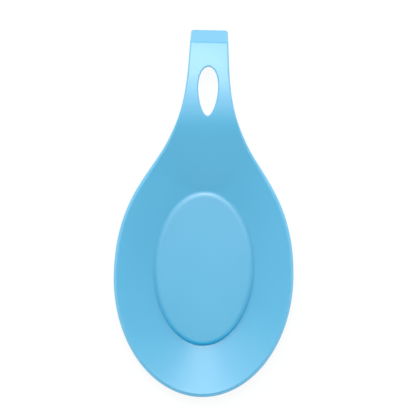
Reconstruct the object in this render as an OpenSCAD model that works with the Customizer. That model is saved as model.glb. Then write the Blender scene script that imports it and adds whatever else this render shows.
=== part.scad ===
// Almond-shaped spoon rest, moulded in one piece of silicone.
// A shallow dish with a raised oval pad runs up a ramp into a flat handle. The handle arches over,
// has an egg-shaped slot to hang it by, and turns down at its end to stand on the table.
// The moulding is drawn as its regions, which meet face to face on upright cuts.
// Stations are measured along the rest from the front tip of the dish. Plan points are
// [station, distance from the centre line] and profile points are [station, height].
// The finished part is centred on the origin, stands on z = 0, and its handle points to +Y.

/* [Whole rest] */
// Length from the front tip of the dish to the foot of the handle
overall_length = 195; // [185:1:215]
// Thickness of the silicone, measured straight down, and level in the turned-down foot
skin = 2.4; // [1.8:0.1:3]

/* [Dish] */
// Width of the dish at its widest place
dish_width = 95; // [88:1:105]
// Distance from the front tip to the widest place
widest_at = 63.5; // [58:0.5:68]
// Height at which the wall ends and the rim's rounded edge begins
rim_height = 11.3; // [8:0.1:12.5]
// Width of the rim's rounded edge, seen from above
rim_round = 1.5; // [0.8:0.1:2.6]
// Depth to which the rim is rounded over at the outline
rim_drop = 1.3; // [0.2:0.1:1.5]

/* [Pad] */
// Distance from the front tip to the foot of the pad
pad_front = 27; // [24:0.1:32]
// Width of the raised oval pad at its foot
pad_width = 53.4; // [44:0.1:60]
// Height of the pad above the crease at its front, and of the hollow under it
pad_rise = 2.2; // [1.6:0.1:2.6]
// How much higher the crease round the pad lies under the ramp than in front
crease_climb = 1.5; // [0:0.1:1.6]
// Width of the pad's rounded edge, which is also the width of the foot ring under it
pad_roll = 3; // [2:0.1:4]
// Width of the rounded edge of the hollow under the pad
hollow_roll = 2.6; // [2:0.1:4]

/* [Handle] */
// Level run of the ramp, from the foot of the pad to the throat, where the handle begins
ramp_run = 25.2; // [22:0.2:30]
// Width of the throat
throat_width = 42.2; // [36:0.1:46]
// Angle at which the outline closes in at the throat
throat_flare = 27.7; // [20:0.1:32]
// Slope of the ramp from the pad up to the throat
ramp_angle = 25.2; // [24:0.1:32]
// Width of the handle at the bend
handle_width = 20.1; // [17:0.1:24]
// Angle at which the handle's sides close in at the bend
handle_taper = 2.4; // [0:0.1:5]
// Height of the bend, where the handle turns down
bend_height = 16.6; // [14:0.1:20]
// Slope at which the handle falls to the bend
fall_angle = 8.8; // [4:0.2:12]
// Size of the rounded corner at the bend
bend_round = 0.6; // [0.4:0.1:2]
// Level run of the turned-down foot, from the bend to the end
foot_run = 7.7; // [6:0.1:10]
// Width of the turned-down foot on the table
foot_width = 19.5; // [16:0.1:24]
// Width of the handle's rounded long edges, seen from above
handle_round = 0.5; // [0.4:0.1:2]
// Depth to which the handle's long edges are rounded over
handle_drop = 0.5; // [0.2:0.1:1.4]

/* [Hanging slot] */
// Distance from the throat to the slot's narrow end
slot_from_throat = 14.5; // [10:0.1:20]
// Length of the egg-shaped slot
slot_length = 25.7; // [20:0.1:28]
// Width of the slot at its widest place
slot_width = 10.3; // [7:0.1:12]
// Distance from the slot's broad end to the bend
slot_from_bend = 13.1; // [10:0.1:15]
// Distance from the slot's ends to the cuts between the hanging eye and its neighbours
eye_margin = 3.6; // [2.5:0.1:5]

/* [Hidden] */
silicone = "#6cc3ea";
// Share of the run between two ends that each end of a curve pulls straight on
shoulder_pull_shares = [0.553, 0.276];
neck_pull_shares = [0.35, 0.466];
arch_pull_shares = [0.14, 0.77];
// Powers of the pad's rounded edge in front and under the ramp: a high one stays level for
// longer, and a low one falls away sooner
roll_power_shares = [3.2, 1.5];
// Shape of the rounded edges: 1 is a quarter ellipse, and 2 would be a straight bevel
edge_bevel_share = 1.6;
// How much broader the slot is towards the bend than towards the dish
slot_egg_share = 0.18;
// Counts of steps
front_steps = 18;
shoulder_steps = 18;
throat_steps = 6;
wall_steps = 7;
roll_steps = 5;
round_steps = 4;
neck_steps = 6;
eye_steps = 20;
tail_steps = 4;
bend_steps = 4;
slot_steps = 60;
halving_steps = 30;
// Length by which a solid is drawn too far before it is cut level
overrun = skin / 2;
bend_at = overall_length - foot_run;
slot_back = bend_at - slot_from_bend;
slot_front = slot_back - slot_length;
eye_front = slot_front - eye_margin;
eye_back = slot_back + eye_margin;
throat_at = slot_front - slot_from_throat;
throat_height = skin + crease_climb + tan(ramp_angle) * ramp_run;
ramp_blend = throat_height - rim_height;
pad_back = throat_at - ramp_run;
pad_length = pad_back - pad_front;
pad_middle = (pad_front + pad_back) / 2;
pad_top = skin + pad_rise;

// A curve between two ends, each given with its direction in degrees, on three straight pulls
function pulled(a, a_turn, b, b_turn, shares) =
    let (run = b[0] - a[0])
    [a,
     a + run * shares[0] * [cos(a_turn), sin(a_turn)],
     b - run * shares[1] * [cos(b_turn), sin(b_turn)],
     b];
function curve(p, t) =
    pow(1 - t, 3) * p[0] + 3 * pow(1 - t, 2) * t * p[1] + 3 * (1 - t) * t * t * p[2] + pow(t, 3) * p[3];
function curve_way(p, t) =
    pow(1 - t, 2) * (p[1] - p[0]) + 2 * (1 - t) * t * (p[2] - p[1]) + t * t * (p[3] - p[2]);
// The share of a curve at which it passes a station, found by halving
function share_at(p, station, low = 0, high = 1, steps = halving_steps) =
    let (middle = (low + high) / 2)
    steps == 0 ? middle
    : curve(p, middle)[0] < station ? share_at(p, station, middle, high, steps - 1)
    : share_at(p, station, low, middle, steps - 1);
function mix(a, b, t) = a + (b - a) * t;
// The larger of two heights, rounded over where they are closer than the blend
function soft_max(a, b, blend) =
    let (near = blend > 0 ? max(0, 1 - abs(a - b) / blend) : 0)
    max(a, b) + near * near * blend / 4;

shoulder = pulled([widest_at, dish_width / 2], 0,
                  [throat_at, throat_width / 2], -throat_flare, shoulder_pull_shares);
neck_side = pulled([throat_at, throat_width / 2], -throat_flare,
                   [bend_at, handle_width / 2], -handle_taper, neck_pull_shares);
arch = pulled([throat_at, throat_height], ramp_angle,
              [bend_at, bend_height], -fall_angle, arch_pull_shares);

// How far out a plan point lies, as a multiple of the pad's oval in its direction
function reach(p) = norm([(p[0] - pad_middle) / (pad_length / 2), p[1] / (pad_width / 2)]);
// The pad's oval under a plan point, and its outward direction there
function pad_oval(p) =
    let (r = reach(p))
    [pad_middle + (p[0] - pad_middle) / r, p[1] / r];
function oval_way(p) =
    let (w = [(p[0] - pad_middle) / pow(pad_length / 2, 2), p[1] / pow(pad_width / 2, 2)])
    w / norm(w);

// Each column of the dish: its point on the outline, its point at the rim's inner edge, and the
// reach at which its wall is as high as the rim
function front_column(turn) =
    let (out = [widest_at * (1 - cos(turn)), dish_width / 2 * sin(turn)],
         way = [-cos(turn) / widest_at, sin(turn) / (dish_width / 2)],
         edge = out - rim_round * way / norm(way))
    [out, edge, reach(edge)];
function shoulder_column(share) =
    let (out = curve(shoulder, share),
         way = curve_way(shoulder, share),
         edge = out - [0, rim_round * norm(way) / way[0]])
    [out, edge, reach(edge)];
corner = shoulder_column(1);
function throat_column(share) =
    let (p = [throat_at, corner[1][1] * (1 - share)])
    [p, p, corner[2]];
rim_columns = concat(
    [for (i = [0:front_steps]) front_column(90 * i / front_steps)],
    [for (i = [1:shoulder_steps]) shoulder_column(i / shoulder_steps)]);
half_columns = concat(rim_columns, [for (i = [1:throat_steps]) throat_column(i / throat_steps)]);
last = len(half_columns) - 1;

// Heights of the upper surface
function ramp_z(station) = skin + crease_climb + tan(ramp_angle) * (station - pad_back);
// The crease round the pad climbs towards the ramp, less and less steeply
function climb_share(foot) = 1 - pow((pad_back - foot[0]) / pad_length, 2);
function crease_z(foot) = skin + crease_climb * climb_share(foot);
function dish_z(p, full_reach) =
    let (t = (reach(p) - 1) / (full_reach - 1))
    soft_max(mix(crease_z(pad_oval(p)), rim_height, t), ramp_z(p[0]), ramp_blend * min(t, 1));
function handle_z(station) = curve(arch, share_at(arch, station))[1];
function half_width(station) = curve(neck_side, share_at(neck_side, station))[1];

// A plan point with a height becomes a point of the finished part
function place(p, z, side = 1) = [side * p[1], p[0] - overall_length / 2, z];

// Skins a row of sections, each with the same count of points, as one solid. A ring of sections
// closes on itself, and any other row is closed by its first and last section.
module loft(sections, ring = false) {
    rows = len(sections);
    count = len(sections[0]);
    spans = ring ? rows : rows - 1;
    faces = [for (i = [0:spans - 1], j = [0:count - 1], half = [0:1])
        let (a = i * count + j,
             b = i * count + (j + 1) % count,
             c = (i + 1) % rows * count + (j + 1) % count,
             d = (i + 1) % rows * count + j)
        half == 0 ? [a, b, c] : [a, c, d]];
    ends = ring ? [] : [[for (j = [count - 1:-1:0]) j], [for (j = [0:count - 1]) (rows - 1) * count + j]];
    polyhedron([for (section = sections, point = section) point], concat(faces, ends));
}

// All columns round the dish: up the right side, and back down the left as its mirror image
function round_trip(count) =
    concat([for (i = [0:count]) [i, 1]], [for (i = [count - 1:-1:1]) [i, -1]]);

// An oval at a distance inside the pad's foot
function inner_oval(inset, z) =
    [for (step = round_trip(last))
        let (foot = pad_oval(half_columns[step[0]][1]))
        place(foot - inset * oval_way(foot), z, step[1])];

// The pad, with a level top and the hollow under it
module spoon_pad() {
    levels = concat(
        [[pad_roll, pad_top + overrun]],
        [for (i = [0:round_steps])
            let (turn = 90 * i / round_steps)
            [pad_roll + hollow_roll * (1 - cos(turn)), pad_rise * sin(turn)]]);
    color(silicone) difference() {
        loft([for (level = levels) inner_oval(level[0], level[1])]);
        translate([-dish_width / 2, -overall_length / 2, pad_top])
            cube([dish_width, overall_length, 2 * overrun]);
    }
}

// The ring on which the dish stands, under the pad's rounded edge
module foot_ring() {
    sections = [for (step = round_trip(last))
        let (foot = pad_oval(half_columns[step[0]][1]),
             way = oval_way(foot),
             inner = foot - pad_roll * way,
             power = mix(roll_power_shares[0], roll_power_shares[1], climb_share(foot)))
        concat(
            [place(foot, -overrun, step[1]), place(inner, -overrun, step[1])],
            [for (i = [0:roll_steps])
                let (out = sin(90 * i / roll_steps))
                place(inner + pad_roll * out * way,
                      mix(crease_z(foot), pad_top, sqrt(1 - pow(out, power))), step[1])])];
    color(silicone) difference() {
        loft(sections, ring = true);
        translate([-dish_width / 2, -overall_length / 2, -2 * overrun])
            cube([dish_width, overall_length, 2 * overrun]);
    }
}

// The flaring wall, which blends into the ramp towards the throat
module dish_wall() {
    sections = [for (step = round_trip(last))
        let (column = half_columns[step[0]],
             foot = pad_oval(column[1]),
             line = [for (i = [0:wall_steps])
                 let (p = mix(foot, column[1], i / wall_steps))
                 [p, dish_z(p, column[2])]])
        concat(
            [for (i = [0:wall_steps]) place(line[i][0], line[i][1], step[1])],
            [for (i = [wall_steps:-1:0]) place(line[i][0], line[i][1] - skin, step[1])])];
    color(silicone) loft(sections, ring = true);
}

// A point of the rounded edge's profile, from [1, 0] at the outline to [0, 1] at the top
function edge_point(i) =
    let (turn = 90 * i / round_steps)
    [pow(cos(turn), edge_bevel_share), pow(sin(turn), edge_bevel_share)];

// The rim's rounded edge, from one side of the throat round the front to the other
module rim_edge() {
    count = len(rim_columns) - 1;
    steps = concat([for (i = [count:-1:1]) [i, -1]], [for (i = [0:count]) [i, 1]]);
    sections = [for (step = steps)
        let (column = rim_columns[step[0]], z = dish_z(column[1], column[2]))
        concat(
            [for (i = [round_steps:-1:0])
                let (edge = edge_point(i))
                place(mix(column[1], column[0], edge[0]), z - rim_drop * (1 - edge[1]), step[1])],
            [for (p = [column[0], column[1]]) place(p, z - skin, step[1])])];
    color(silicone) loft(sections);
}

// One section across the handle, between an upper and a lower profile point, with its long
// edges rounded over
function across(upper, lower, half, edge, drop) =
    concat(
        [for (i = [0:round_steps])
            let (e = edge_point(i), p = mix(upper, lower, drop / skin * (1 - e[1])))
            place([p[0], half - edge * (1 - e[0])], p[1], -1)],
        [for (i = [round_steps:-1:0])
            let (e = edge_point(i), p = mix(upper, lower, drop / skin * (1 - e[1])))
            place([p[0], half - edge * (1 - e[0])], p[1], 1)],
        [place([lower[0], half], lower[1], 1), place([lower[0], half], lower[1], -1)]);
// An upright section: the rounding narrows from the rim's at the throat to the handle's own
function handle_section(station) =
    let (z = handle_z(station),
         share = min(1, (station - throat_at) / (eye_front - throat_at)))
    across([station, z], [station, z - skin], half_width(station),
           mix(rim_round / cos(throat_flare), handle_round, share), mix(rim_drop, handle_drop, share));
function handle_run(from, to, steps) = [for (i = [0:steps]) handle_section(mix(from, to, i / steps))];

// The top of the ramp, where the wide throat narrows into the handle
module handle_neck() {
    color(silicone) loft(handle_run(throat_at, eye_front, neck_steps));
}

// The outline of the slot, broad towards the bend and narrower towards the dish
function slot_point(turn) =
    let (swell = 1 + slot_egg_share * cos(turn))
    place([(slot_front + slot_back) / 2 + slot_length / 2 * cos(turn),
           slot_width / 2 * sin(turn) * swell], 0);

// The arch of the handle with the slot to hang the rest by
module hanging_eye() {
    color(silicone) difference() {
        loft(handle_run(eye_front, eye_back, eye_steps));
        linear_extrude(height = throat_height + bend_height)
            polygon([for (i = [0:slot_steps - 1])
                let (p = slot_point(360 * i / slot_steps))
                [p[0], p[1]]]);
    }
}

// A corner between two straight runs, rounded by a curve that starts and ends on them
function corner_point(before, middle, after, t) = mix(mix(before, middle, t), mix(middle, after, t), t);

// The end of the handle, which falls to the bend and turns down to the table
module tail_foot() {
    fall = [cos(fall_angle), -sin(fall_angle)];
    bend = [bend_at, bend_height];
    turn_down = [foot_run, -bend_height] / norm([foot_run, bend_height]);
    lean = foot_run / bend_height;
    back = skin * (1 - lean) / (1 - lean * tan(fall_angle));
    inner_bend = [bend_at - back, bend_height - skin + tan(fall_angle) * back];
    start = bend - bend_round * fall;
    inner_start = inner_bend - bend_round * fall;
    upright_sections = [for (i = [0:tail_steps])
        handle_section(mix(eye_back, inner_start[0], i / (tail_steps + 1)))];
    bend_sections = [for (i = [0:bend_steps])
        let (t = i / bend_steps,
             upper = corner_point(start, bend, bend + bend_round * turn_down, t),
             lower = corner_point(inner_start, inner_bend, inner_bend + bend_round * turn_down, t))
        across(upper, lower, half_width(mix(start[0], bend_at, t)), handle_round, handle_drop)];
    foot_section = across([overall_length, 0], [overall_length - skin, 0], foot_width / 2,
                          handle_round, handle_drop);
    color(silicone) loft(concat(upright_sections, bend_sections, [foot_section]));
}

spoon_pad();
foot_ring();
dish_wall();
rim_edge();
handle_neck();
hanging_eye();
tail_foot();
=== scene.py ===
# %% [markdown]
# # A silicone spoon rest
#
# The real thing is one soft moulding: a shallow almond-shaped dish with a raised oval pad, a
# bevelled rim, and a ramp that climbs into a flat handle with a hanging slot and a turned-down
# end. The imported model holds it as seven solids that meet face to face. Here one continuous skin
# takes their place, because a moulding has no seams to show.

import math

import bmesh
import bpy
import numpy as np
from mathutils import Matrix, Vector


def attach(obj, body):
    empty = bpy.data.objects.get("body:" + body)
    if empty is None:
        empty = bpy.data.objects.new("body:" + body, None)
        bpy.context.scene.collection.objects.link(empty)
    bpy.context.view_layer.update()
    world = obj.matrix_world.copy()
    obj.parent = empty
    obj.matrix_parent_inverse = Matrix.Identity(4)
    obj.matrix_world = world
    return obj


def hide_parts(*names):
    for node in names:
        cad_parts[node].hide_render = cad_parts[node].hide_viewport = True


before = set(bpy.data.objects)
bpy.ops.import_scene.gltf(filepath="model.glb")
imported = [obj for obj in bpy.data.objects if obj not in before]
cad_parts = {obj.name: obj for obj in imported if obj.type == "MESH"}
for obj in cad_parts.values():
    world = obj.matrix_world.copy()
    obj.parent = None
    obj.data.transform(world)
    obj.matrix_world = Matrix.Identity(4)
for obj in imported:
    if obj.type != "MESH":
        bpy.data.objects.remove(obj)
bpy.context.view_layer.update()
NODES = sorted(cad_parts)
print("nodes:", NODES)

# %% [markdown]
# ## The maker's sizes
# The same millimetres and degrees as in the part's source. Stations count from the front tip of
# the dish, and a plan point is (station, distance to the side). Working in the maker's sizes keeps
# the skin on the solids; sculpting it by eye would let the two drift apart.

# %% Sizes in millimetres and degrees
# The whole, the outline of the dish, and its rim with the width and depth of the rim's edge
OVERALL_LENGTH, SKIN = 195.0, 2.4
DISH_WIDTH, WIDEST_AT, RIM_HEIGHT, RIM_ROUND, RIM_DROP = 95.0, 63.5, 11.3, 1.5, 1.3
# The pad, how wide its edge rolls above and in the hollow below, and how much the crease climbs
PAD_FRONT, PAD_WIDTH, PAD_RISE, PAD_ROLL, HOLLOW_ROLL = 27.0, 53.4, 2.2, 3.0, 2.6
CREASE_CLIMB = 1.5
# The ramp and the throat, where the dish gives way to the handle
RAMP_RUN, THROAT_WIDTH, THROAT_FLARE, RAMP_ANGLE = 25.2, 42.2, 27.7, 25.2
# The handle with the width and depth of its edge, the bend and the foot behind it
HANDLE_WIDTH, HANDLE_TAPER, HANDLE_ROUND, HANDLE_DROP = 20.1, 2.4, 0.5, 0.5
BEND_HEIGHT, FALL_ANGLE, BEND_ROUND, FOOT_RUN, FOOT_WIDTH = 16.6, 8.8, 0.6, 7.7, 19.5
# The hanging slot, and how far the eye round it reaches past its ends
SLOT_LENGTH, SLOT_WIDTH, SLOT_FROM_THROAT, SLOT_FROM_BEND = 25.7, 10.3, 14.5, 13.1
EYE_MARGIN = 3.6
# How far each end of a curve pulls straight on, as a share of the run between its ends
SHOULDER_PULLS, NECK_PULLS, ARCH_PULLS = (0.553, 0.276), (0.35, 0.466), (0.14, 0.77)
SLOT_EGG = 0.18           # how much the slot swells towards the bend
ROLL_POWERS = (3.2, 1.5)  # the pad's edge is full in front and slopes more under the ramp
EDGE_BEVEL = 1.6          # for the outer edges, 1 is a quarter ellipse and 2 a straight bevel
print(f"{OVERALL_LENGTH} by {DISH_WIDTH} mm, {SKIN} mm thick")

# %% Where each part begins and ends
BEND_AT = OVERALL_LENGTH - FOOT_RUN
SLOT_BACK = BEND_AT - SLOT_FROM_BEND
SLOT_FRONT = SLOT_BACK - SLOT_LENGTH
EYE_FRONT, EYE_BACK = SLOT_FRONT - EYE_MARGIN, SLOT_BACK + EYE_MARGIN
THROAT_AT = SLOT_FRONT - SLOT_FROM_THROAT
RAMP_SLOPE = math.tan(math.radians(RAMP_ANGLE))
THROAT_HEIGHT = SKIN + CREASE_CLIMB + RAMP_SLOPE * RAMP_RUN
RAMP_BLEND = THROAT_HEIGHT - RIM_HEIGHT
PAD_BACK = THROAT_AT - RAMP_RUN
PAD_MIDDLE, PAD_HALF = (PAD_FRONT + PAD_BACK) / 2, (PAD_BACK - PAD_FRONT) / 2
PAD_TOP = SKIN + PAD_RISE
print(f"throat at {THROAT_AT:.1f}, {THROAT_HEIGHT:.2f} high; bend at {BEND_AT:.1f} mm")

# %% [markdown]
# ## The curves that the mould maker drew
# The dish's front is half an ellipse. Its shoulders, the sides of the handle and the handle's arch
# are cubic curves, each set by its two ends, their directions and how far each end pulls straight
# on. Four numbers a curve are easier to keep fair than a row of traced points.

# %% Cubic curves worked out as whole arrays
CURVE_SAMPLES = 8001


def pulled(a, a_turn, b, b_turn, pulls):
    """The four points of a cubic curve: each end, and each end moved along its own direction by
    its share of the run between the ends."""
    run = b[0] - a[0]
    a_way = np.array([math.cos(math.radians(a_turn)), math.sin(math.radians(a_turn))])
    b_way = np.array([math.cos(math.radians(b_turn)), math.sin(math.radians(b_turn))])
    return np.array([a, a + run * pulls[0] * a_way, b - run * pulls[1] * b_way, b])


def along(curve, t):
    """The points of a cubic curve: its four points weighted by (1-t)^3, 3(1-t)^2 t, 3(1-t)t^2
    and t^3."""
    t = np.asarray(t, float)[..., None]
    return ((1 - t) ** 3 * curve[0] + 3 * (1 - t) ** 2 * t * curve[1]
            + 3 * (1 - t) * t ** 2 * curve[2] + t ** 3 * curve[3])


def heading(curve, t):
    """The curve's direction, which is the weighted sum of the three steps between its points."""
    t = np.asarray(t, float)[..., None]
    step = np.diff(curve, axis=0)
    return (1 - t) ** 2 * step[0] + 2 * (1 - t) * t * step[1] + t ** 2 * step[2]


def read_off(curve):
    """A function that gives the curve's second coordinate at a station, read from a fine table."""
    table = along(curve, np.linspace(0, 1, CURVE_SAMPLES))
    return lambda station: np.interp(station, table[:, 0], table[:, 1])


# %% The shoulder, the side of the handle and its arch
widest, throat_side = (WIDEST_AT, DISH_WIDTH / 2), (THROAT_AT, THROAT_WIDTH / 2)
shoulder = pulled(widest, 0, throat_side, -THROAT_FLARE, SHOULDER_PULLS)
half_width = read_off(pulled(throat_side, -THROAT_FLARE,
                             (BEND_AT, HANDLE_WIDTH / 2), -HANDLE_TAPER, NECK_PULLS))
handle_z = read_off(pulled((THROAT_AT, THROAT_HEIGHT), RAMP_ANGLE,
                           (BEND_AT, BEND_HEIGHT), -FALL_ANGLE, ARCH_PULLS))
arch = handle_z(np.linspace(THROAT_AT, BEND_AT, CURVE_SAMPLES))
print(f"the arch tops out at {arch.max():.2f} mm")

# %% [markdown]
# ## How high the dish stands
# The wall of the dish is a cone over an oval: its height grows with the distance from the pad. The
# ramp is a plane. Where they meet, the taller one wins, with a soft valley between them, as a
# mould maker would polish it. The crease round the pad climbs a little towards the ramp, so the
# pad stands out most in front.

# %% Heights of the upper surface
def reach(plan):
    """Distance from the pad's middle, counted in sizes of the pad's oval."""
    return np.hypot((plan[..., 0] - PAD_MIDDLE) / PAD_HALF, plan[..., 1] / (PAD_WIDTH / 2))


def soft_max(a, b, blend):
    """The larger of a and b, plus a quarter of the blend times the square of their nearness. A
    tiny least blend keeps the division from failing."""
    near = np.clip(1 - np.abs(a - b) / np.maximum(blend, 1e-9), 0, None)
    return np.maximum(a, b) + near ** 2 * blend / 4


def crease_z(plan):
    """Height of the crease round the pad: it climbs towards the ramp, less and less steeply, as
    s (2 - s) does when s runs from 0 to 1 along the pad."""
    s = ((plan[..., 0] - PAD_MIDDLE) / reach(plan) / PAD_HALF + 1) / 2
    return SKIN + CREASE_CLIMB * s * (2 - s)


def dish_z(plan, full):
    """Wall and ramp together: a straight rise from the pad's foot to the rim, where the reach is
    'full', joined to the ramp's plane by the soft maximum."""
    rise = (reach(plan) - 1) / (full - 1)
    wall = crease_z(plan) + (RIM_HEIGHT - crease_z(plan)) * rise
    ramp = SKIN + CREASE_CLIMB + RAMP_SLOPE * (plan[..., 0] - PAD_BACK)
    return soft_max(wall, ramp, RAMP_BLEND * np.minimum(rise, 1))


pad_ends = np.array([[PAD_FRONT, 0], [PAD_BACK, 0]])
print("the crease lies at", crease_z(pad_ends).round(2), "mm, in front and under the ramp")

# %% [markdown]
# ## Columns round the dish
# The dish is laid out like the staves of a barrel: columns run from the pad's middle out to the
# rim, close together all the way round. The last few columns on each side end at the throat, where
# the handle takes over. Columns give neat quads that follow the rim, which a flat grid would not.

# %% The rim's outline, and the inner line of its edge
FRONT_STEPS, SHOULDER_STEPS, THROAT_STEPS = 76, 76, 20

front_turn = np.linspace(0, math.pi / 2, FRONT_STEPS + 1)
front_out = np.stack([WIDEST_AT * (1 - np.cos(front_turn)),
                      DISH_WIDTH / 2 * np.sin(front_turn)], 1)
front_way = np.stack([-np.cos(front_turn) / WIDEST_AT,
                      np.sin(front_turn) / (DISH_WIDTH / 2)], 1)
front_way /= np.linalg.norm(front_way, axis=1, keepdims=True)

shoulder_share = np.linspace(0, 1, SHOULDER_STEPS + 1)[1:]
shoulder_out = along(shoulder, shoulder_share)
shoulder_way = heading(shoulder, shoulder_share)
sideways = np.zeros_like(shoulder_out)
sideways[:, 1] = RIM_ROUND * np.linalg.norm(shoulder_way, axis=1) / shoulder_way[:, 0]

rim_out = np.concatenate([front_out, shoulder_out])
rim_edge = np.concatenate([front_out - RIM_ROUND * front_way, shoulder_out - sideways])
print(len(rim_out), "points down each side of the rim")

# %% The columns, from the pad's oval to the rim or the throat
corner = rim_edge[-1]
throat_edge = np.stack([np.full(THROAT_STEPS, THROAT_AT),
                        corner[1] * (1 - np.linspace(0, 1, THROAT_STEPS + 1)[1:])], 1)


def mirrored(right, flip):
    """Rows up the right side, then back down the left as their mirror image: each coordinate
    there is multiplied by its flip."""
    return np.concatenate([right, right[-2:0:-1] * flip])


middle = np.array([PAD_MIDDLE, 0.0])
full_right = np.concatenate([reach(rim_edge), np.full(THROAT_STEPS, reach(corner))])
column_full = mirrored(full_right, 1)
column_edge = mirrored(np.concatenate([rim_edge, throat_edge]), [1, -1])
column_foot = (column_edge - middle) / reach(column_edge)[:, None] + middle
column_way = (column_foot - middle) / np.square([PAD_HALF, PAD_WIDTH / 2])
column_way /= np.linalg.norm(column_way, axis=1, keepdims=True)
outward = column_edge - column_foot
outward /= np.linalg.norm(outward, axis=1, keepdims=True)
print(len(column_edge), "columns, of which", 2 * len(rim_out) - 1, "end at the rim")

# %% [markdown]
# ## Profiles
# A profile is a row of (plan point, height) steps. Quarter rounds are cosines and sines of one
# angle, and a sharp corner is softened by a parabola that starts and ends on its two sides. They
# could be bevelled later, but a profile puts each round exactly where the mould has it.

# %% Small helpers for the profiles
def mix(a, b, t):
    """The point that lies the share t of the way from a to b."""
    return a + (b - a) * t


def lift(plan, z):
    """Plan points with heights as points of the finished part: sideways, along, up."""
    z = np.broadcast_to(z, plan.shape[:-1])
    return np.stack([plan[..., 1], plan[..., 0] - OVERALL_LENGTH / 2, z], -1)


def softened(before, middle, after, steps):
    """A corner rounded by a parabola: the point that runs along the lines before-middle and
    middle-after at once, at the same share of each."""
    t = np.linspace(0, 1, steps + 1)[:, None, None]
    return mix(mix(before, middle, t), mix(middle, after, t), t)


# %% [markdown]
# ## The dish from above
# Pad, its rolled edge, a fine fillet at the foot of the pad, and the wall up to the rim. Seen from
# above, the far edge of the pad is a broad light band and the near one a narrow dark line. A
# painted line would stay put when the camera moves, so the edge is real geometry.

# %% Rows of the dish, from the pad's middle to the rim
PAD_ROWS = (0, 0.2, 0.4, 0.6, 0.8, 0.93)
ROLL_STEPS, FILLET_STEPS, WALL_ROWS = 23, 10, 30
CREASE_SOFT = 1.3     # the fillet where the pad's edge meets the dish
CREASE_SHARE = 0.2    # share of the pad's rise at which the roll gives way to that fillet

pad_inner = column_foot - PAD_ROLL * column_way
crease = crease_z(column_foot)
power = mix(*ROLL_POWERS, (crease - SKIN) / CREASE_CLIMB)
roll_end = (1 - CREASE_SHARE ** 2) ** (1 / power)


def roll(t):
    """One row of the pad's rolled edge: its height over the crease is the rise times the square
    root of 1 - x^power, where x runs from 0 at the flat of the pad to 1 at the crease."""
    return lift(pad_inner + PAD_ROLL * (roll_end * t)[:, None] * column_way,
                crease + (PAD_TOP - crease) * np.sqrt(1 - (roll_end * t) ** power))


def wall_row(share, below=0.0):
    """One row of the wall and ramp, the given share of the way from the fillet to the rim."""
    plan = mix(column_foot + CREASE_SOFT * outward, column_edge, share)
    return lift(plan, dish_z(plan, column_full) - below)


rows = [lift(mix(middle, pad_inner, share), PAD_TOP) for share in PAD_ROWS]
rows += [roll(t) for t in np.sin(np.linspace(0, math.pi / 2, ROLL_STEPS + 1))]
rows += list(softened(rows[-1], lift(column_foot, crease), wall_row(0), FILLET_STEPS)[1:])
rows += [wall_row(share) for share in np.linspace(0, 1, WALL_ROWS + 1)[1:]]
dish_top = np.array(rows)
print("dish from above:", dish_top.shape[:2])

# %% [markdown]
# ## The dish from below
# The underside of wall and ramp is the same surface, one skin lower. It stands on a flat ring
# under the pad's edge, and inside the ring the pad is hollow so that the skin keeps its thickness.
# A solidify modifier would give the thickness too, but not the flat ring it stands on.

# %% Rows of the underside, from the rim back to the middle
FOOT_SOFT = 0.5       # the round of the edges that touch the table
RING_SOFT = 0.4       # where the ring's inner edge begins to round, measured from the hollow
RING_TURN = math.radians(17)   # where that round ends, as an angle on the hollow's side
RING_OUTER_STEPS, RING_FLAT_STEPS, RING_INNER_STEPS, HOLLOW_STEPS = 8, 3, 4, 8
CEILING_ROWS = (0.1, 0.3, 0.5, 0.75, 1)

ring_start = lift(column_foot - FOOT_SOFT * column_way, 0)
ring_end = lift(column_foot - (PAD_ROLL - RING_SOFT) * column_way, 0)
ceiling = column_foot - (PAD_ROLL + HOLLOW_ROLL) * column_way


def hollow(angle):
    """The rounded side of the hollow: a quarter ellipse, PAD_RISE high and HOLLOW_ROLL wide."""
    inset = PAD_ROLL + HOLLOW_ROLL * (1 - math.cos(angle))
    return lift(column_foot - inset * column_way, PAD_RISE * math.sin(angle))


rows = [wall_row(share, SKIN) for share in np.linspace(1, 0, WALL_ROWS + 1)]
rows += list(softened(rows[-1], lift(column_foot, 0), ring_start, RING_OUTER_STEPS)[1:])
rows += list(mix(ring_start, ring_end,
                 np.linspace(0, 1, RING_FLAT_STEPS + 1)[1:, None, None]))
rows += list(softened(ring_end, lift(pad_inner, 0), hollow(RING_TURN), RING_INNER_STEPS)[1:])
rows += [hollow(angle) for angle in np.linspace(RING_TURN, math.pi / 2, HOLLOW_STEPS + 1)[1:]]
rows += [lift(mix(ceiling, middle, share), PAD_RISE) for share in CEILING_ROWS]
dish_under = np.array(rows)
print("dish from below:", dish_under.shape[:2])

# %% [markdown]
# ## The handle's stations
# Upright cuts carry the handle from the throat to the bend. There the upper and lower lines turn
# down on their own corners, so that the foot keeps its thickness, and run straight to the table.
# The last cuts draw in a little, which rounds the edge the rest stands on. Bending a finished flat
# strip would thin it at the corner.

# %% Shares and corners that the handle's lines are made from
NECK_STEPS, EYE_STEPS, FALL_STEPS, BEND_STEPS, FOOT_STEPS, END_STEPS = 14, 56, 10, 10, 16, 5

upright = np.concatenate([np.linspace(THROAT_AT, EYE_FRONT, NECK_STEPS + 1),
                          np.linspace(EYE_FRONT, EYE_BACK, EYE_STEPS + 1)[1:]])
late_share = np.linspace(0, 1, FALL_STEPS + 1)[1:]
bend_share = np.linspace(0, 1, BEND_STEPS + 1)[1:]
foot_share = np.sin(np.linspace(0, math.pi / 2, FOOT_STEPS + 1))[1:]
end_turn = np.linspace(0, math.pi / 2, END_STEPS + 1)[1:]
round_from = 1 - FOOT_SOFT / BEND_HEIGHT
round_share = mix(round_from, 1, np.sin(end_turn))
drawn_in = FOOT_SOFT * (1 - np.cos(end_turn))

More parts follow.
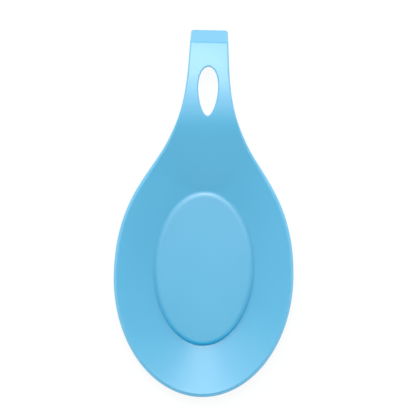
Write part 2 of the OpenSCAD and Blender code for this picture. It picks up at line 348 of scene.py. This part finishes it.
fall = np.array([math.cos(math.radians(FALL_ANGLE)), -math.sin(math.radians(FALL_ANGLE))])
down = np.array([FOOT_RUN, -BEND_HEIGHT]) / math.hypot(FOOT_RUN, BEND_HEIGHT)
bend = np.array([BEND_AT, BEND_HEIGHT])
lean, fall_slope = FOOT_RUN / BEND_HEIGHT, fall[1] / fall[0]
back = SKIN * (1 - lean) / (1 + lean * fall_slope)
inner_bend = np.array([BEND_AT - back, BEND_HEIGHT - SKIN - fall_slope * back])
print("outer corner at the bend:", bend.round(2), "inner corner:", inner_bend.round(2))

# %% Upper and lower line of the handle, as (station, height)
def late_stations(corner):
    """Stations from the eye to the point where the line leaves the arch for its corner."""
    return mix(EYE_BACK, (corner - BEND_ROUND * fall)[0], late_share)


def handle_line(depth, corner, end, side):
    """A line of the handle: the arch less its depth, a parabola round the corner at the bend, and
    straight down to its end, drawn in there to the given side by a quarter round."""
    stations = np.concatenate([upright, late_stations(corner)])
    t = bend_share[:, None]
    turned = mix(mix(corner - BEND_ROUND * fall, corner, t),
                 mix(corner, corner + BEND_ROUND * down, t), t)
    foot = mix(turned[-1], mix(turned[-1], end, round_from), foot_share[:, None])
    rounded = mix(turned[-1], end, round_share[:, None]) + side * drawn_in[:, None] * [1, 0]
    return np.concatenate([np.stack([stations, handle_z(stations) - depth], 1),
                           turned, foot, rounded])


upper = handle_line(0, bend, np.array([OVERALL_LENGTH, 0]), -1)
lower = handle_line(SKIN, inner_bend, np.array([OVERALL_LENGTH - SKIN, 0]), 1)
print(len(upper), "stations, the last", upper[-1].round(2), lower[-1].round(2))

# %% Half the width at each station, and the size of the handle's edge
FOOT_CORNER = 0.75    # the round of the foot's two outer corners, seen from above

late = late_stations(bend)
at_bend = half_width(mix(late[-1], BEND_AT, bend_share))
half = np.concatenate([half_width(upright), half_width(late), at_bend,
                       mix(at_bend[-1], FOOT_WIDTH / 2, foot_share * round_from),
                       mix(at_bend[-1], FOOT_WIDTH / 2, round_share) - drawn_in])
farthest = np.maximum.accumulate(upper[:, 0])
into_corner = np.clip(1 - (farthest[-1] - farthest) / FOOT_CORNER, 0, 1)
half -= FOOT_CORNER * (1 - np.sqrt(1 - into_corner ** 2))

narrowing = np.clip((upper[:, 0] - THROAT_AT) / (EYE_FRONT - THROAT_AT), 0, 1)
edge = mix(RIM_ROUND / math.cos(math.radians(THROAT_FLARE)), HANDLE_ROUND, narrowing)
drop = mix(RIM_DROP, HANDLE_DROP, narrowing)
print(f"the handle narrows from {2 * half[0]:.1f} to {2 * half[-1]:.1f} mm")

# %% [markdown]
# ## One band round the whole outline
# Rim and handle share their edge: nearly a bevel on top, upright at the side, and lightly rounded
# below. It is one profile carried from the end of the handle down one side, round the front of the
# dish and up the other side, so that no seam shows at the throat. The bevel leans outwards and
# mirrors the light low down, which draws the pale line round the dish. A quarter round of the same
# size has too little of it at that slope.

# %% The edge profile, for all columns at once
ROUND_STEPS, SIDE_STEPS, SOFT_STEPS, UNDER_STEPS = 9, 3, 4, 3
EDGE_SOFT = 0.35      # the small round that every moulded edge has underneath

round_turn = np.linspace(math.pi / 2, 0, ROUND_STEPS + 1)
soft_turn = np.linspace(0, math.pi / 2, SOFT_STEPS + 1)[1:]


def edge_depths(drop):
    """How far below the upper surface each step lies: the drop times 1 - sine^EDGE_BEVEL, then
    down the side, round the small quarter circle, and one skin deep along the underside."""
    drop = drop[:, None]
    side_end = SKIN - EDGE_SOFT
    side = mix(drop, side_end, np.linspace(0, 1, SIDE_STEPS + 1)[1:])
    soft = side_end + EDGE_SOFT * np.sin(soft_turn)
    return np.concatenate([drop * (1 - np.sin(round_turn) ** EDGE_BEVEL), side,
                           np.broadcast_to(soft, (len(drop), SOFT_STEPS)),
                           np.full((len(drop), UNDER_STEPS), SKIN)], 1)


def edge_insets(width):
    """How far inside the outline each step lies: the width times 1 - cosine^EDGE_BEVEL, none
    along the side, round the small quarter circle, and inwards along the underside."""
    width = width[:, None]
    soft = EDGE_SOFT * (1 - np.cos(soft_turn))
    under = mix(EDGE_SOFT, width, np.linspace(0, 1, UNDER_STEPS + 1)[1:])
    return np.concatenate([width * (1 - np.cos(round_turn) ** EDGE_BEVEL),
                           np.zeros((len(width), SIDE_STEPS)),
                           np.broadcast_to(soft, (len(width), SOFT_STEPS)), under], 1)


# %% The band along the rim and down both sides of the handle
rim_width = np.linalg.norm(rim_out - rim_edge, axis=1)
rim_inset = edge_insets(rim_width) / rim_width[:, None]
rim_plan = mix(rim_out[:, None], rim_edge[:, None], rim_inset[..., None])
rim_top = dish_z(rim_edge, full_right[:len(rim_out)])[:, None]
rim_band = lift(rim_plan, rim_top - edge_depths(np.full(len(rim_out), RIM_DROP)))

profile = mix(upper[:, None], lower[:, None], (edge_depths(drop) / SKIN)[..., None])
side_plan = np.stack([profile[..., 0], half[:, None] - edge_insets(edge)], -1)
side_band = lift(side_plan, profile[..., 1])

right_band = np.concatenate([rim_band, side_band[1:]])
band = np.concatenate([right_band[::-1], right_band[1:] * [-1, 1, 1]])
print("the band:", band.shape[:2], "highest", band[..., 2].max().round(2), "mm")

# %% [markdown]
# ## The flat of the handle and its slot
# Between the two edges the handle is flat across. Round the slot the quads run as rings from the
# slot's lip to the edges, which keeps the egg shape crisp. A boolean cut would leave long thin
# faces that catch the light.

# %% Rows across the handle, above and below
EYE_FIRST, EYE_LAST, LAST = NECK_STEPS, NECK_STEPS + EYE_STEPS, len(upper) - 1
across = mix(1, -1, np.linspace(0, 1, 2 * THROAT_STEPS + 1))
inner_half = half - edge


def strip(line, first, last):
    """Rows across the handle between two stations, from the right edge to the left."""
    flat = inner_half[first:last + 1, None] * across
    plan = np.stack([np.broadcast_to(line[first:last + 1, :1], flat.shape), flat], -1)
    return lift(plan, line[first:last + 1, 1:])


flats = [strip(line, *ends) for line in (upper, lower)
         for ends in ((0, EYE_FIRST), (EYE_LAST, LAST))]
print("flats before and behind the slot:", [flat.shape[:2] for flat in flats])

# %% The line round the eye, and the egg of the slot inside it
sides = np.stack([upper[EYE_FIRST:EYE_LAST + 1, 0], inner_half[EYE_FIRST:EYE_LAST + 1]], 1)
back_row = np.stack([np.full(len(across), EYE_BACK), inner_half[EYE_LAST] * across], 1)
front_row = np.stack([np.full(len(across), EYE_FRONT), inner_half[EYE_FIRST] * across[::-1]], 1)
eye_line = np.concatenate([sides, back_row[1:], (sides * [1, -1])[::-1][1:], front_row[1:-1]])

slot_middle = (SLOT_FRONT + SLOT_BACK) / 2
angle = np.arctan2(eye_line[:, 1] / SLOT_WIDTH, (eye_line[:, 0] - slot_middle) / SLOT_LENGTH)
swell = 1 + SLOT_EGG * np.cos(angle)
slot = np.stack([slot_middle + SLOT_LENGTH / 2 * np.cos(angle),
                 SLOT_WIDTH / 2 * np.sin(angle) * swell], 1)
slot_way = np.stack([SLOT_WIDTH / 2 * (np.cos(angle) * swell - SLOT_EGG * np.sin(angle) ** 2),
                     SLOT_LENGTH / 2 * np.sin(angle)], 1)
slot_way /= np.linalg.norm(slot_way, axis=1, keepdims=True)
print("the slot is", np.ptp(slot, axis=0).round(2), "mm, from", len(slot), "points")

# %% Rings from the edges of the eye to the lip of the slot, and the slot's wall
RING_STEPS, LIP_STEPS, WALL_STEPS = 12, 5, 4
SLOT_SOFT = 0.65      # the round at the lips of the hanging slot

rings = np.array([mix(eye_line, slot + SLOT_SOFT * slot_way, share)
                  for share in np.linspace(0, 1, RING_STEPS + 1)])
eye_top = lift(rings, handle_z(rings[..., 0]))
eye_under = lift(rings, handle_z(rings[..., 0]) - SKIN)

lip_turn = np.linspace(math.pi / 2, 0, LIP_STEPS + 1)
lip_out, lip_sunk = SLOT_SOFT * (1 - np.cos(lip_turn)), SLOT_SOFT * (1 - np.sin(lip_turn))
between = mix(SLOT_SOFT, SKIN - SLOT_SOFT, np.linspace(0, 1, WALL_STEPS + 1)[1:-1])
out = np.concatenate([lip_out, np.zeros_like(between), lip_out[::-1]])[:, None, None]
sunk = np.concatenate([lip_sunk, between, SKIN - lip_sunk[::-1]])[:, None]
wall_plan = slot + out * slot_way
slot_wall = lift(wall_plan, handle_z(wall_plan[..., 0]) - sunk)
print("rings:", eye_top.shape[:2], "slot wall:", slot_wall.shape[:2])

# %% [markdown]
# ## The end of the foot
# The strip's cut end stands on the table. Its outline is known on all four sides, and the points
# inside follow from them: the blend from side to side plus the blend from top to bottom, less
# the blend of the four corners, which both contain. One many-sided face would shade badly.

# %% The end of the foot, filled between its four sides
top_row, under_row = flats[1][-1], flats[3][-1]
right_side = side_band[-1]
left_side = right_side * [-1, 1, 1]
u = np.linspace(0, 1, len(top_row))[:, None, None]
v = np.linspace(0, 1, len(right_side))[None, :, None]
corners = ((1 - u) * (1 - v) * top_row[0] + u * (1 - v) * top_row[-1]
           + (1 - u) * v * under_row[0] + u * v * under_row[-1])
foot_end = ((1 - v) * top_row[:, None] + v * under_row[:, None]
            + (1 - u) * right_side[None] + u * left_side[None] - corners)
print("foot end:", foot_end.shape[:2])

# %% [markdown]
# ## One skin
# The patches share their border points, so they are welded into one closed mesh. Afterwards the
# normals are made to point outwards, the open edges are counted, which should be none, and the
# volume is printed, which should be that of the solids. Patches left apart would shade as if cut
# along their borders.

# %% Weld the patches into one mesh
WELD_WITHIN = 2e-6    # in metres


def quads(rows, count, closed):
    """Four-cornered faces between neighbouring rows and columns of a grid."""
    index = np.arange(rows * count).reshape(rows, count)
    if closed:
        index = np.concatenate([index, index[:, :1]], 1)
    return np.stack([index[:-1, :-1], index[:-1, 1:],
                     index[1:, 1:], index[1:, :-1]], -1).reshape(-1, 4)


patches = [(dish_top, True), (dish_under, True), (band, False), (eye_top, True),
           (eye_under, True), (slot_wall, True), (foot_end, False)]
patches += [(flat, False) for flat in flats]
points, faces, start = [], [], 0
for grid, closed in patches:
    points.append(grid.reshape(-1, 3))
    faces.append(quads(*grid.shape[:2], closed) + start)
    start += grid.shape[0] * grid.shape[1]
mesh = bpy.data.meshes.new("spoon_rest")
mesh.from_pydata(np.concatenate(points) / 1000, [], np.concatenate(faces).tolist())

work = bmesh.new()
work.from_mesh(mesh)
bmesh.ops.remove_doubles(work, verts=work.verts, dist=WELD_WITHIN)
bmesh.ops.recalc_face_normals(work, faces=work.faces)
open_edges = sum(len(each.link_faces) != 2 for each in work.edges)
volume = work.calc_volume(signed=True) * 1e6
work.to_mesh(mesh)
work.free()
mesh.polygons.foreach_set("use_smooth", np.ones(len(mesh.polygons), bool))
rest = bpy.data.objects.new("spoon_rest", mesh)
bpy.context.scene.collection.objects.link(rest)
print(f"{len(mesh.polygons)} faces, {open_edges} open edges, {volume:.2f} cm3")

# %% [markdown]
# ## Painted shade in the crease
# Light that falls into the crease round the pad is thrown to and fro between the pad's edge and
# the dish, meets the dye each time, and much of it is shaded off. So the line there looks a
# deeper, purer blue, most of all in front, where the crease is deepest. That shade is painted into
# the colour here, and the crease's sheen is dimmed with it. Light that scatters inside the
# silicone could be traced, but that is slow and blurs the fine edges. So a number at each vertex
# says how far it lies in the crease, and the material reads it.

# %% How far each vertex lies in the crease, from 0 to 1, which sets the painted shade there
# the painted crease shade lies round the foot of the pad, deepest in front
GROOVE_INSET, GROOVE_WIDTH = 0.7, 0.9   # the tint's middle, inside the pad's foot, and its width
GROOVE_POWER = 3      # how fast the tint fades where the crease gets shallower
PAD_INSIDE = 0.5      # the reach that the tint never comes near; the formula fails in the middle
HAIR = 0.01           # mm by which a point of the upper side may lie lower by rounding

spots = np.empty(3 * len(mesh.vertices))
mesh.vertices.foreach_get("co", spots)
spots = spots.reshape(-1, 3) * 1000
spot_plan = np.stack([spots[:, 1] + OVERALL_LENGTH / 2, spots[:, 0]], 1)
upper_side = (reach(spot_plan) > PAD_INSIDE) & (spots[:, 2] > SKIN - HAIR)
spot_plan = spot_plan[upper_side]
past_foot = (1 - 1 / reach(spot_plan)) * np.linalg.norm(spot_plan - middle, axis=1)
depth_share = (PAD_TOP - crease_z(spot_plan)) / PAD_RISE
nearness = np.exp(-((past_foot + GROOVE_INSET) / GROOVE_WIDTH) ** 2)
# painted shade: each upper vertex near the pad's foot gets its share of the crease's shade
painted_crease_shade = np.zeros(len(spots))
painted_crease_shade[upper_side] = nearness * depth_share ** GROOVE_POWER
mesh.attributes.new("painted_crease_shade", "FLOAT", "POINT").data.foreach_set("value", painted_crease_shade)
print(f"the crease's tint runs from {painted_crease_shade.min():.3f} to {painted_crease_shade.max():.3f}")

# %% [markdown]
# ## The silicone
# Moulded silicone is a soft satin: dyed through, so the colour hardly varies, with a very fine
# grain from the mould and slow, faint changes in gloss where it was handled. Noise in the object's
# own coordinates gives all three. A picture of the surface would stretch on the walls.

# %% Helpers for node trees
def feed(tree, made, inputs):
    """Gives a node's inputs their values: another node's output is linked, and anything else is
    set on the socket."""
    for name, value in inputs.items():
        if isinstance(value, bpy.types.NodeSocket):
            tree.links.new(value, made.inputs[name])
        else:
            made.inputs[name].default_value = value


def node(tree, kind, place, inputs=None, **settings):
    """Adds a node of one kind with these attributes and inputs."""
    made = tree.nodes.new(kind)
    made.location = place
    for name, value in settings.items():
        setattr(made, name, value)
    feed(tree, made, inputs or {})
    return made


def remap(tree, place, value, span, result, **settings):
    """The value carried from one span over to another: the start of the span gives the first
    result, its end the second, and values past either end stay there."""
    names = ("Value", "From Min", "From Max", "To Min", "To Max")
    made = node(tree, "ShaderNodeMapRange", place, dict(zip(names, (value, *span, *result))),
                **settings)
    return made.outputs["Result"]


# %% The silicone's colour, with painted shade in the crease
DYE_THIN, DYE_FULL = (0.081, 0.407, 0.644, 1), (0.093, 0.430, 0.670, 1)
# painted shade: the deeper blue given to the shaded crease round the pad
PAINTED_CREASE_SHADE_COLOUR = (0.012, 0.40, 0.72, 1)

silicone = bpy.data.materials.new("silicone")
silicone.use_nodes = True
tree = silicone.node_tree
shader = tree.nodes["Principled BSDF"]
own_place = node(tree, "ShaderNodeTexCoord", (-1200, 0)).outputs["Object"]
crease_shade = node(tree, "ShaderNodeAttribute", (-700, 400), attribute_name="painted_crease_shade").outputs["Fac"]

mottle = node(tree, "ShaderNodeTexNoise", (-900, 200), {
    "Vector": own_place, "Scale": 38.0, "Detail": 3.0, "Roughness": 0.5}).outputs["Fac"]
dye = node(tree, "ShaderNodeMix", (-500, 200), {
    "Factor": mottle, "A": DYE_THIN, "B": DYE_FULL}, data_type="RGBA").outputs["Result"]
# painted shade mixed into the dye along the crease
dye_and_crease_shade = node(tree, "ShaderNodeMix", (-250, 300), {
    "Factor": crease_shade, "A": dye, "B": PAINTED_CREASE_SHADE_COLOUR}, data_type="RGBA").outputs["Result"]
feed(tree, shader, {"Base Color": dye_and_crease_shade})
print("colour nodes:", len(tree.nodes))

# %% The silicone's gloss and grain, with the sheen dimmed as painted shade in the crease
SILICONE_IOR = 1.46

gloss = remap(tree, (-500, -100), mottle, (0.3, 0.7), (0.29, 0.34))
# painted shade: the sheen is dimmed in the crease, where its reflections lie in shade
sheen_dimmed_in_crease = remap(tree, (-250, 0), crease_shade, (0.0, 1.0), (1.0, 0.3))
grain = node(tree, "ShaderNodeTexNoise", (-900, -100), {
    "Vector": own_place, "Scale": 2600.0, "Detail": 2.0, "Roughness": 0.55}).outputs["Fac"]
bumps = node(tree, "ShaderNodeBump", (-500, -400), {
    "Height": grain, "Strength": 0.12, "Distance": 0.00004}).outputs["Normal"]
feed(tree, shader, {"Roughness": gloss, "Normal": bumps, "IOR": SILICONE_IOR,
                    "Specular IOR Level": sheen_dimmed_in_crease})
mesh.materials.append(silicone)
print("silicone nodes:", len(tree.nodes))

# %% The skin takes the place of the seven solids
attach(rest, "root")
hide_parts(*NODES)
print("one skin takes the place of", len(NODES), "solids")

# %% [markdown]
# ## The table
# The rest was photographed on a plain white table, where only a faint shadow shows. Lamps alone
# would leave such a table grey and uneven. So most of its white glows of its own accord, but
# only for the camera and in reflections, and the small remainder is lit, which a shadow can
# take. What the table throws back onto the rest is worked out as for plain grey paper.

# %% Floor that stays white and keeps a faint shadow
WHITE = (1, 1, 1, 1)
SHADOW_SHARE = 0.12   # share of the floor's white that the lamps give, and that a shadow can take
LIT_WHITE = 0.95      # how bright white paper would look here in the lamps' light alone
FLOOR_GREY = 0.8      # how much light the floor throws back onto the rest

bpy.ops.mesh.primitive_circle_add(vertices=96, radius=6, fill_type="NGON",
                                  location=(0, 0, -0.0003))
floor = bpy.context.object
floor.name = "floor"


def seen(tree):
    """1 for rays from the camera, from a reflection or through glass, and 0 for all others."""
    rays = node(tree, "ShaderNodeLightPath", (-800, 300)).outputs
    either = node(tree, "ShaderNodeMath", (-600, 300), {
        0: rays["Is Camera Ray"], 1: rays["Is Glossy Ray"]}, operation="MAXIMUM").outputs[0]
    return node(tree, "ShaderNodeMath", (-400, 300), {
        0: either, 1: rays["Is Transmission Ray"]}, operation="MAXIMUM").outputs[0]


paper = bpy.data.materials.new("white_table")
paper.use_nodes = True
tree = paper.node_tree
in_view = seen(tree)
grey = node(tree, "ShaderNodeMix", (-200, 0), {
    "Factor": in_view, "A": (FLOOR_GREY, FLOOR_GREY, FLOOR_GREY, 1),
    "B": (SHADOW_SHARE, SHADOW_SHARE, SHADOW_SHARE, 1)}, data_type="RGBA").outputs["Result"]
glow = node(tree, "ShaderNodeMath", (-200, 300), {
    0: in_view, 1: 1 - SHADOW_SHARE * LIT_WHITE}, operation="MULTIPLY").outputs[0]
feed(tree, tree.nodes["Principled BSDF"], {
    "Base Color": grey, "Roughness": 0.9, "Specular IOR Level": 0.0,
    "Emission Color": WHITE, "Emission Strength": glow})
floor.data.materials.append(paper)
print("the floor's own glow:", round(1 - SHADOW_SHARE * LIT_WHITE, 3))

# %% [markdown]
# ## The light tent
# Around the rest stands a light tent, brightest low down and a little dimmer towards the front.
# The bevel of the rim leans outwards and mirrors that bright band, while the level pad and the
# ramp look up into the dim top and keep their blue. A ring of lamps could do this too, but would
# leave separate spots of light in the satin.

# %% World: a light tent, and plain white where the camera sees it
LOW_BAND = (0.3, 0.65)       # height on the unit sphere over which the bright band fades
FRONT_SIDE = (-0.95, -0.3)   # position along Y on it over which the dimmer front gives way
FRONT_GLOW, BAND_GLOW, TOP_GLOW = 1.35, 1.9, 0.33

world = bpy.data.worlds.new("studio")
bpy.context.scene.world = world
world.use_nodes = True
tree = world.node_tree
tent = tree.nodes["Background"]
way_in = node(tree, "ShaderNodeTexCoord", (-900, -200)).outputs["Generated"]
way_parts = node(tree, "ShaderNodeSeparateXYZ", (-700, -200), {0: way_in}).outputs
band_glow = remap(tree, (-700, -450), way_parts["Y"], FRONT_SIDE, (FRONT_GLOW, BAND_GLOW),
                  interpolation_type="SMOOTHSTEP")
tent_glow = remap(tree, (-500, -200), way_parts["Z"], LOW_BAND, (band_glow, TOP_GLOW),
                  interpolation_type="SMOOTHSTEP")
feed(tree, tent, {"Color": WHITE, "Strength": tent_glow})

backdrop = node(tree, "ShaderNodeBackground", (0, -200), {"Color": WHITE, "Strength": 1.0})
rays = node(tree, "ShaderNodeLightPath", (-300, 200)).outputs
choose = node(tree, "ShaderNodeMixShader", (300, 0), {
    0: rays["Is Camera Ray"], 1: tent.outputs[0], 2: backdrop.outputs[0]})
feed(tree, tree.nodes["World Output"], {"Surface": choose.outputs[0]})
print("tent nodes:", len(tree.nodes))

# %% [markdown]
# ## The lamps
# Three soft lamps hang beyond the handle. The broad one overhead and the smaller key lamp are
# mirrored by the falling end of the handle and make it shine. The low one lights the front of the
# dish, whose wall faces it, and leaves the ramp dark because that faces the other way. One large
# lamp would do for either, but not for both.

# %% The lamps
def lamp(name, tilt, turn, distance, energy, width, depth):
    """A soft oblong lamp aimed at the rest: its direction is tilted from straight above, and
    turned from +Y towards +X."""
    tilt, turn = math.radians(tilt), math.radians(turn)
    way = Vector((math.sin(tilt) * math.sin(turn), math.sin(tilt) * math.cos(turn),
                  math.cos(tilt)))
    data = bpy.data.lights.new(name, "AREA")
    data.shape, data.size, data.size_y = "RECTANGLE", width, depth
    data.energy = energy
    made = bpy.data.objects.new(name, data)
    made.location = way * distance
    made.rotation_euler = (-way).to_track_quat("-Z", "Y").to_euler()
    bpy.context.scene.collection.objects.link(made)
    print(f"{name}: {energy} W at", [round(value, 2) for value in made.location])


# degrees, degrees, metres, watts, metres, metres
lamp("top_softbox", 12, 0, 1.25, 3.5, 1.3, 0.56)
lamp("key_lamp", 22.5, 0, 1.25, 3.8, 0.5, 0.2)
lamp("back_softbox", 46, -20, 1.5, 4.8, 1.6, 0.72)

# %% [markdown]
# ## The camera
# It looks straight down from 1.2 m. The rest lies turned by a little more than a degree in the
# photo, so the camera is rolled by that instead, and the part stays square in its own frame.

# %% Camera
VIEW_HALF, CAMERA_HEIGHT = 110.9, 1200   # half of what the picture is wide at the table, in mm
CAMERA_ASIDE, CAMERA_ALONG = 1.45, 2.53
CAMERA_ROLL = math.radians(1.38)

camera_data = bpy.data.cameras.new("camera")
camera_data.sensor_fit = "HORIZONTAL"
camera_data.angle = 2 * math.atan(VIEW_HALF / CAMERA_HEIGHT)
camera_data.clip_end = 50
camera = bpy.data.objects.new("camera", camera_data)
camera.location = (CAMERA_ASIDE / 1000, CAMERA_ALONG / 1000, CAMERA_HEIGHT / 1000)
camera.rotation_euler = (0, 0, CAMERA_ROLL)
bpy.context.scene.collection.objects.link(camera)
bpy.context.scene.camera = camera
bpy.context.scene.view_settings.view_transform = "Standard"
print(f"the camera sees {math.degrees(camera_data.angle):.2f} degrees")
